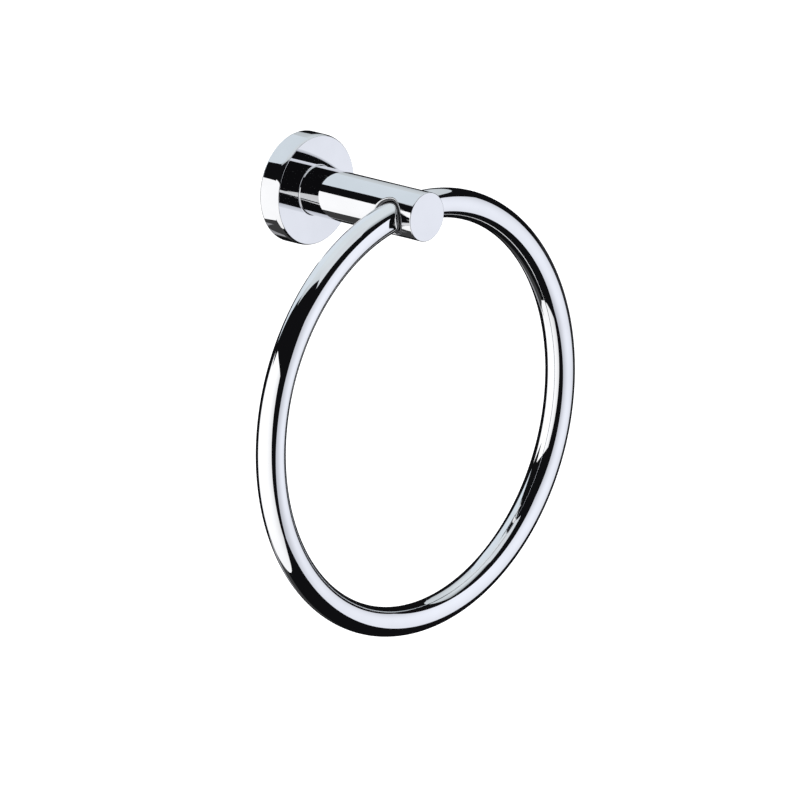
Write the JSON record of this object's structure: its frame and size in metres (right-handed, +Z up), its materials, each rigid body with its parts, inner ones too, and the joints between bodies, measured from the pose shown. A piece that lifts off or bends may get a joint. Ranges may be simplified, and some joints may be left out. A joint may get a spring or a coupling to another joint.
{
  "type": "towel ring",
  "caption": "Wall-mounted chrome towel ring: a round flange over a hidden bracket, a round post, and a round-tube ring that hangs through the post and swings.",
  "frame": {"origin": "middle of the flange on the wall plane", "axes": "+Y into the wall, +Z up, +X to the right seen from the room; the part stands out along -Y"},
  "size_m": [0.182, 0.07, 0.1982],
  "materials": {
    "polished_chrome": "mirror-polished chrome plate on brass",
    "grey_nylon": "moulded nylon, satin",
    "zinc_plated_steel": "bright zinc plate, dull",
    "stainless_steel": "plain machined"
  },
  "bodies": {
    "wall_fixing": {"flange": "polished_chrome", "post": "polished_chrome", "ring_bush_left": "grey_nylon", "ring_bush_right": "grey_nylon", "wall_bracket": "zinc_plated_steel", "post_screw": "zinc_plated_steel", "post_washer": "zinc_plated_steel", "flange_grub_screw": "stainless_steel"},
    "swinging_ring": {"ring": "polished_chrome"}
  },
  "joints": [
    {"name": "ring_swing", "type": "hinge", "parent": "wall_fixing", "child": "swinging_ring", "pos_m": [0, -0.0575, 0], "axis": [1, 0, 0], "range_deg": [-197.5, 17.5]}
  ]
}
